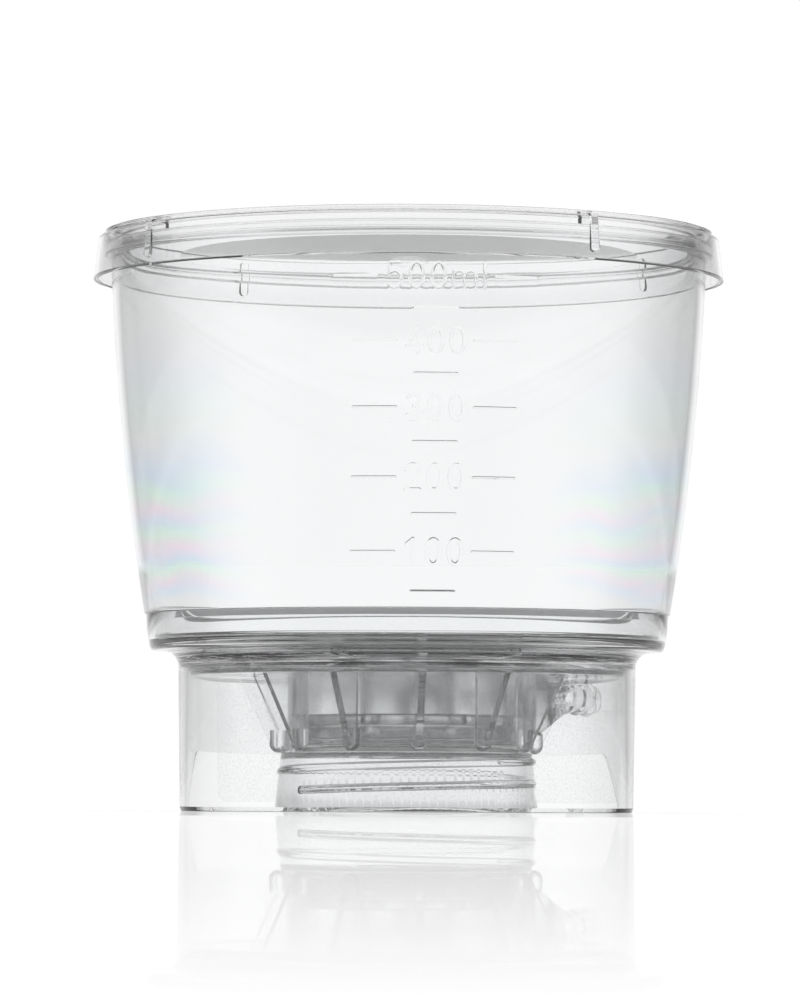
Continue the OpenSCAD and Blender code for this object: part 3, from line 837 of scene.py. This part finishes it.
finished(cup, "cup_moulding", stress_and_painted_fringe_plastic(), "clear_cup", "funnel")

# ---------------------------------------------------------------- Lid
# A loose lid in the same clear plastic, moulded through a gate in the middle of
# its sunk panel. It stands on the mouth of the cup on four ribs, so that air
# gets in between them.

lid_top_z, lid_foot_z = high("lid")[2], low("lid")[2]
lid_wall, ring_wall, ring_h, shoulder_w, shoulder_h = 0.95, 1.1, 4.05, 0.85, 1.0
panel_z = lid_top_z - ring_h
ring_under_z = lid_top_z - ring_wall
flare_z = lid_top_z - shoulder_h * 2
lid_skirt_r = flange_r + 0.3 + lid_wall
lid_flare = high("lid")[0] - lid_skirt_r
plug_r = mouth_r - 0.4
ring_r = lid_skirt_r - shoulder_w
gate_r, gate_h = 3.9, 0.9


def lid_skirt_at(z):
    return lid_skirt_r + lid_flare * (flare_z - z) / (flare_z - lid_foot_z)


dome_r = (gate_r ** 2 + gate_h ** 2) / (2 * gate_h)
dome_z = panel_z - lid_wall - gate_h + dome_r
inner_dome_r = dome_r - lid_wall
under = math.asin(gate_r / dome_r)
over = math.acos((dome_z - panel_z) / inner_dome_r)
outline = [(inner_dome_r * math.sin(a), dome_z - inner_dome_r * math.cos(a)) for a in np.linspace(0, over, 9)]
outline += [
    (plug_r - lid_wall, panel_z, 0.6),
    (plug_r - lid_wall, lid_top_z, 0.5),
    (ring_r, lid_top_z, 0.45),
    (ring_r, lid_top_z - shoulder_h, 0.15),
    (lid_skirt_at(lid_top_z - shoulder_h), lid_top_z - shoulder_h, 0.6),
    (lid_skirt_at(lid_foot_z), lid_foot_z, 0.2),
    (lid_skirt_at(lid_foot_z) - lid_wall, lid_foot_z, 0.2),
    (lid_skirt_at(ring_under_z) - lid_wall, ring_under_z, 0.4),
    (plug_r, ring_under_z, 0.4),
    (plug_r, panel_z - lid_wall, 0.6),
]
outline += [(dome_r * math.sin(a), dome_z - dome_r * math.cos(a)) for a in np.linspace(under, 0, 11)]
lid = turned(rounded(outline), 256)
vent_count, vent_w, vent_bearing, vent_rise, vent_gap = 4, 1.8, 30, 1.35, 0.2
tops, drops = [], []
for i in range(vent_count):
    place = bearing_axes(vent_bearing + 360 / vent_count * i)
    buried = lid_wall / 2
    tops.append(moved(plate([
        (plug_r - buried, mouth_z + 0.01), (lid_skirt_at(mouth_z) - buried, mouth_z + 0.01),
        (lid_skirt_at(mouth_z) - buried, ring_under_z + buried), (plug_r - buried, ring_under_z + buried),
    ], vent_w), place))
    half = vent_w / 2
    end_z = lid_foot_z + vent_rise + half
    arc = np.radians(np.linspace(180, 360, 13))
    round_end = [(half * math.cos(a), end_z + half * math.sin(a)) for a in arc]
    tab = plate([(half, mouth_z + 0.5), (-half, mouth_z + 0.5)] + round_end,
                lid_skirt_at(end_z) - buried - flange_r - vent_gap,
                -(flange_r + vent_gap + lid_skirt_at(end_z) - buried) / 2)
    drops.append(moved(moved(tab, [[0, -1, 0], [1, 0, 0], [0, 0, 1]]), place))
join(lid, together(tops))
join(lid, together(drops))
finished(lid, "lid_moulding", clear_plastic("clear_lid", (0.992, 0.994, 0.996)), "clear_lid", "lid")

# ---------------------------------------------------------------- Label
# A clear adhesive film round the front of the skirt, with rounded corners. Its
# print is left off. The adhesive behind it holds a fine speckle of air.

label_foot_z, label_top_z = low("label_film")[2], high("label_film")[2]
label_bearing, label_half, label_round, label_gap, label_t = 1.5, 61.0, 2.4, 0.03, 0.1


def label_sheet():
    """A grid bent round the skirt, its rows shortened towards the rounded corners."""
    rows = []
    for k in range(9):
        rows.append(label_foot_z + label_round * (1 - math.cos(math.pi / 2 * k / 8)))
    rows += list(np.linspace(label_foot_z + label_round, label_top_z - label_round, 9)[1:-1])
    rows += [label_top_z - label_round * (1 - math.cos(math.pi / 2 * k / 8)) for k in range(8, -1, -1)]
    columns = 96
    points, faces = [], []
    for z in rows:
        into = min(z - label_foot_z, label_top_z - z)
        drop = label_round - math.sqrt(max(0, label_round ** 2 - max(0, label_round - into) ** 2))
        half = label_half - math.degrees(drop / skirt_r)
        for side in (label_gap, label_gap + label_t):
            for c in range(columns + 1):
                angle = math.radians(label_bearing - half + 2 * half * c / columns - 90)
                r = skirt_at(z) + side
                points.append((r * math.cos(angle), r * math.sin(angle), z))
    span = columns + 1
    for k in range(len(rows) - 1):
        a, b = 2 * k * span, 2 * (k + 1) * span
        for c in range(columns):
            faces.append([a + c, b + c, b + c + 1, a + c + 1])
            faces.append([a + span + c, a + span + c + 1, b + span + c + 1, b + span + c])
        faces.append([a, a + span, b + span, b])
        faces.append([a + columns, b + columns, b + span + columns, a + span + columns])
    last = 2 * (len(rows) - 1) * span
    for c in range(columns):
        faces.append([c, c + 1, span + c + 1, span + c])
        faces.append([last + c, last + span + c, last + span + c + 1, last + c + 1])
    return solid(points, faces)


def adhesive_film():
    material, nodes, shader = new_material("adhesive_film")
    speckle = noise(nodes, added(nodes, "TexCoord").outputs["Object"], 2600.0, 3.0)
    feed(shader, {
        "Base Color": (0.93, 0.95, 0.97, 1),
        "IOR": 1.2,
        "Alpha": ranged(nodes, speckle, 0.45, 0.75, 0.03, 0.16),
        "Roughness": ranged(nodes, speckle, 0.0, 1.0, 0.15, 0.35),
    })
    return material


finished(label_sheet(), "label_sheet", adhesive_film(), "label_film", "label_film")

# ---------------------------------------------------------------- Table and light
# A pale glossy table top before a bright backdrop. The soft light from the sides
# and the front is lower, with a darker screen each side, so that clear edges show.

table_fade_r = 1.012
view_bearing = -5.2
# Light by its direction: degrees clockwise from straight behind, then the level there
low_light = [
    (-180, 0.5), (-140, 0.5), (-105, 0.7), (-85, 0.65), (-67, 0.25), (-45, 0.33), (-28, 0.58), (-16, 1.0),
    (16, 1.0), (28, 0.5), (45, 0.22), (67, 0.2), (85, 0.65), (105, 0.7), (140, 0.5), (180, 0.5),
]
upper_light = [(-180, 0.65), (-100, 0.7), (-60, 0.9), (60, 0.9), (100, 0.7), (180, 0.65)]
# The last level is the table's glow in the painted shadow under the unit; the first two distances below are
# where that painted shadow fades out
overhead_light, backdrop_light, table_light, painted_shadow_level = 0.65, 1.02, 0.8, 0.3
table_mirror, table_mirror_fade = 0.44, 12.0
painted_shadow_from_r, painted_shadow_to_r, screens_from_r, screens_to_r = 0.045, 0.11, 0.4, 1.6
# Rise of a direction at which the light turns to the upper level, then to the overhead one
upper_from, upper_to, overhead_from, overhead_to = 0.33, 0.52, 0.8, 0.93


def blended(nodes, share, a, b):
    return added(nodes, "Mix", {"Factor": share, "A": a, "B": b}, data_type="FLOAT").outputs["Result"]


def light_ramps(nodes, place, *ramps):
    """The level of each ramp at the bearing of the place, and the place's parts."""
    facing = added(nodes, "VectorRotate", {"Vector": place, "Angle": math.radians(-view_bearing)},
                   rotation_type="Z_AXIS").outputs["Vector"]
    parts = added(nodes, "SeparateXYZ", {"Vector": facing}).outputs
    turn = ranged(nodes, maths(nodes, "ARCTAN2", parts["X"], parts["Y"]), -math.pi, math.pi)
    levels = []
    for stops in ramps:
        levels.append(ramped(nodes, turn, [(angle / 360 + 0.5, (level,) * 3) for angle, level in stops]))
    return levels, parts


def pale_top():
    """White gloss that mirrors what stands on it, less so far from the middle, and glows, its glow dimmed
    under the unit as a painted shadow.
    """
    material, nodes, plain_shader = new_material("pale_top")
    nodes.remove(plain_shader)
    place = added(nodes, "NewGeometry").outputs["Position"]
    (screens,), _ = light_ramps(nodes, place, low_light)
    away = added(nodes, "VectorMath", {0: place}, operation="LENGTH").outputs["Value"]
    far_share = ranged(nodes, away, screens_from_r, screens_to_r, kind="SMOOTHSTEP")
    # Painted shadow: the glow drops under and around the unit, where its shade falls
    painted_shadow = ranged(nodes, away, painted_shadow_from_r, painted_shadow_to_r, painted_shadow_level, table_light, "SMOOTHSTEP")
    glow = maths(nodes, "MULTIPLY", blended(nodes, far_share, 1.0, screens), painted_shadow)
    seen = added(nodes, "LightPath").outputs["Is Camera Ray"]
    lit = added(nodes, "Emission", {"Strength": blended(nodes, seen, glow, table_light)})
    matt = added(nodes, "BsdfDiffuse", {"Color": (0.3, 0.3, 0.3, 1)})
    both = added(nodes, "AddShader", {0: matt.outputs[0], 1: lit.outputs[0]})
    gloss = added(nodes, "BsdfGlossy", {"Roughness": 0.0, "Color": (1, 1, 1, 1)})
    fade = maths(nodes, "POWER", maths(nodes, "DIVIDE", away, table_fade_r), table_mirror_fade)
    mirror = ranged(nodes, fade, 0.0, 1.0, table_mirror, 0.0)
    mix = added(nodes, "MixShader", {"Fac": mirror, 1: both.outputs[0], 2: gloss.outputs[0]})
    feed(nodes["Material Output"], {"Surface": mix.outputs[0]})
    # The glow is soft and wide, so rays find it without being aimed at it
    material.cycles.emission_sampling = "NONE"
    return material


table_half = 6.0
top_corners = [(-table_half, -table_half, 0), (table_half, -table_half, 0), (table_half, table_half, 0),
               (-table_half, table_half, 0)]
top_mesh = bpy.data.meshes.new("table_top")
top_mesh.from_pydata(top_corners, [], [[0, 1, 2, 3]])
table_top = bpy.data.objects.new("table_top", top_mesh)
bpy.context.scene.collection.objects.link(table_top)
top_mesh.materials.append(pale_top())

world = bpy.data.worlds.new("studio")
bpy.context.scene.world = world
world.use_nodes = True
nodes = world.node_tree.nodes
direction = added(nodes, "TexCoord").outputs["Generated"]
(low_level, upper_level), parts = light_ramps(nodes, direction, low_light, upper_light)
upper_share = ranged(nodes, parts["Z"], upper_from, upper_to, kind="SMOOTHSTEP")
overhead_share = ranged(nodes, parts["Z"], overhead_from, overhead_to, kind="SMOOTHSTEP")
soft = blended(nodes, upper_share, low_level, upper_level)
soft = blended(nodes, overhead_share, soft, overhead_light)
seen = added(nodes, "LightPath").outputs["Is Camera Ray"]
feed(nodes["Background"], {"Color": (1, 1, 1, 1), "Strength": blended(nodes, seen, soft, backdrop_light)})
# The world's light is soft and wide too
world.cycles.sampling_method = "NONE"

scene = bpy.context.scene
scene.view_settings.view_transform = "Standard"
scene.cycles.max_bounces = 14
scene.cycles.transmission_bounces = 14
scene.cycles.glossy_bounces = 8
scene.cycles.transparent_max_bounces = 16
scene.cycles.diffuse_bounces = 2

# ---------------------------------------------------------------- Camera
# It stands level with the table top, a long lens looking slightly upwards.

camera_data = bpy.data.cameras.new("camera")
camera_data.sensor_width = 36.0
camera_data.lens = 208.8
camera_data.clip_start = 0.01
camera_data.clip_end = 50
camera = bpy.data.objects.new("camera", camera_data)
scene.collection.objects.link(camera)
camera.rotation_mode = "XYZ"
camera_distance, camera_z = 1.073, 0.0022
camera_tilt, camera_roll, camera_aside = 2.96, -0.25, 0.063
swing = math.radians(view_bearing)
camera.location = (camera_distance * math.sin(swing), -camera_distance * math.cos(swing), camera_z)
camera_turns = (90 + camera_tilt, camera_roll, view_bearing + camera_aside)
camera.rotation_euler = [math.radians(turn) for turn in camera_turns]
scene.camera = camera
